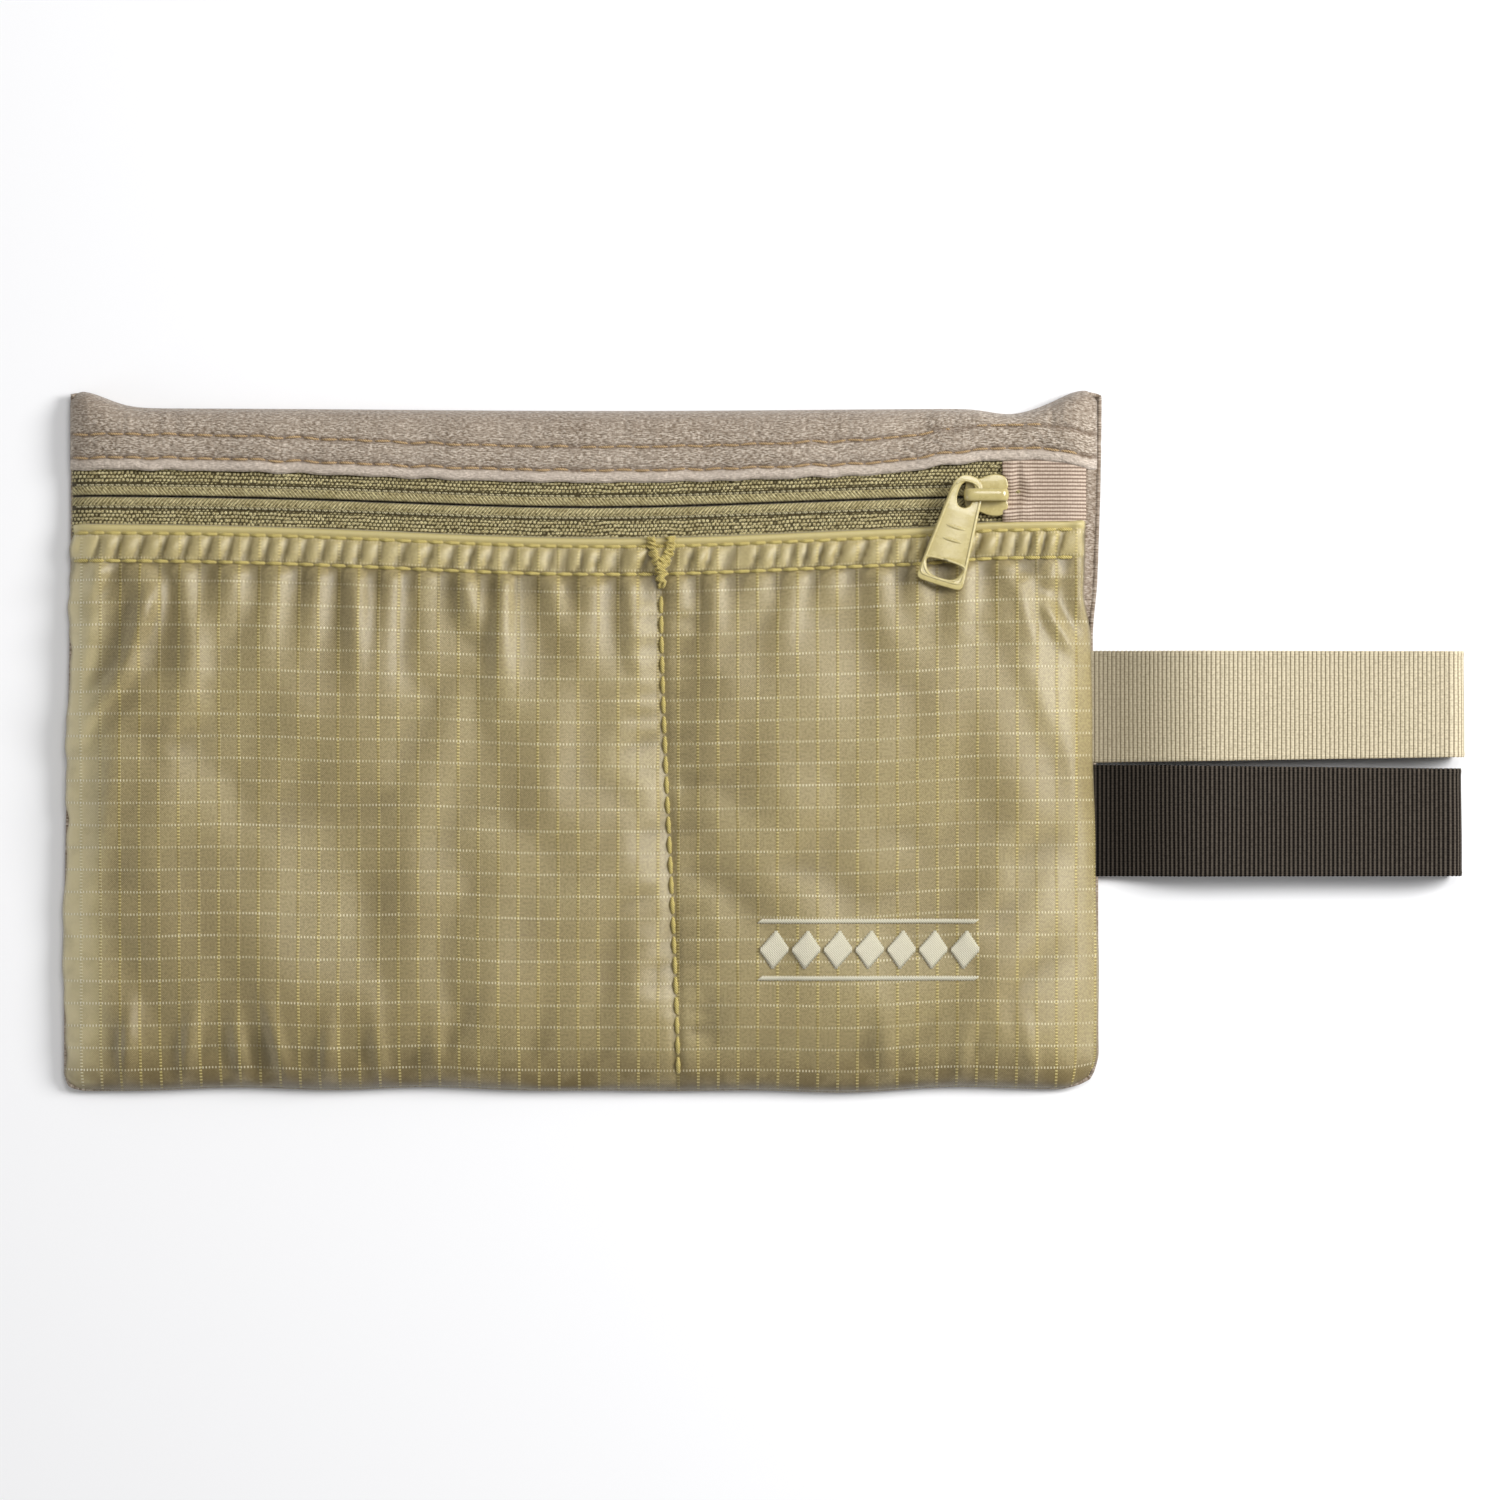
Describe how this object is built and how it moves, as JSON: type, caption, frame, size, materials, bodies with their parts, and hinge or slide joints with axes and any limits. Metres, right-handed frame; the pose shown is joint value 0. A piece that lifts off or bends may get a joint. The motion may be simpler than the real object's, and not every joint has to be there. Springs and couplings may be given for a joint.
{
  "type": "zipped travel money pouch",
  "caption": "Flat zipped ripstop pouch with a brushed back, a sewn divider, a slider with a pull tab and webbing belt loops on one side.",
  "frame": {"origin": "under the middle of the whole object, loops included, on the surface it lies on", "axes": "+X from the pouch towards its belt loops, +Y from the bottom seam to the top fold, +Z out of the front face"},
  "size_m": [0.2524, 0.1264, 0.0093],
  "materials": {
    "ripstop": "satin ripstop nylon with a sewn-in grid of thicker threads",
    "brushed_cloth": "matte brushed polyester, soft nap",
    "zip_tape": "matte woven tape",
    "zip_coil": "satin nylon monofilament",
    "painted_slider": "glossy khaki paint on die-cast zinc",
    "webbing_tan": "ribbed grosgrain, slight sheen",
    "webbing_black": "ribbed grosgrain, slight sheen",
    "webbing_end_tab": "ribbed grosgrain, matte",
    "thread_gold": "polyester sewing thread",
    "thread_ochre": "polyester sewing thread",
    "thread_cream": "glossy embroidery thread"
  },
  "bodies": {
    "pouch": {"back_panel": "brushed_cloth", "front_panel": "ripstop", "zip_tape_lower": "zip_tape", "zip_coil_lower": "zip_coil", "coil_stitch_lower": "zip_tape", "zip_end_tab": "webbing_end_tab", "hem_stitch_upper": "thread_gold", "hem_stitch_lower": "thread_gold", "divider_stitching": "thread_gold", "divider_bar_tack": "thread_gold", "embroidered_ornament": "thread_cream", "edge_seam_thread": "thread_ochre"},
    "mouth_lip": {"top_band": "brushed_cloth", "zip_tape_upper": "zip_tape", "zip_coil_upper": "zip_coil", "coil_stitch_upper": "zip_tape", "band_stitch_lower": "thread_ochre", "band_stitch_upper": "thread_ochre"},
    "slider": {"slider_body": "painted_slider", "slider_crown": "painted_slider"},
    "pull": {"pull_tab": "painted_slider"},
    "tan_loop": {"belt_loop_tan": "webbing_tan"},
    "black_loop": {"belt_loop_black": "webbing_black"}
  },
  "joints": [
    {"name": "slider_travel", "type": "slide", "parent": "pouch", "child": "slider", "axis": [-1, 0, 0], "range_m": [0, 0.153]},
    {"name": "pull_tab_swivel", "type": "hinge", "parent": "slider", "child": "pull", "pos_m": [0.03645, 0.0442, 0.0074], "axis": [0, 0, -1], "range_deg": [-60, 200]},
    {"name": "mouth_lip_lift", "type": "hinge", "parent": "pouch", "child": "mouth_lip", "pos_m": [0, 0.0602, 0.0015], "axis": [-1, 0, 0], "range_deg": [0, 38], "deforming": ["top_band", "zip_tape_upper", "zip_coil_upper", "coil_stitch_upper", "band_stitch_lower", "band_stitch_upper"]},
    {"name": "tan_loop_swing", "type": "hinge", "parent": "pouch", "child": "tan_loop", "pos_m": [0.0609, 0.0062, 0.0019], "axis": [0, -1, 0], "range_deg": [0, 110]},
    {"name": "black_loop_swing", "type": "hinge", "parent": "pouch", "child": "black_loop", "pos_m": [0.0609, -0.0143, 0.0019], "axis": [0, -1, 0], "range_deg": [0, 110]}
  ],
  "couplings": [
    {"joint": "mouth_lip_lift", "follows": "slider_travel", "rad_per_m": 4.33}
  ]
}
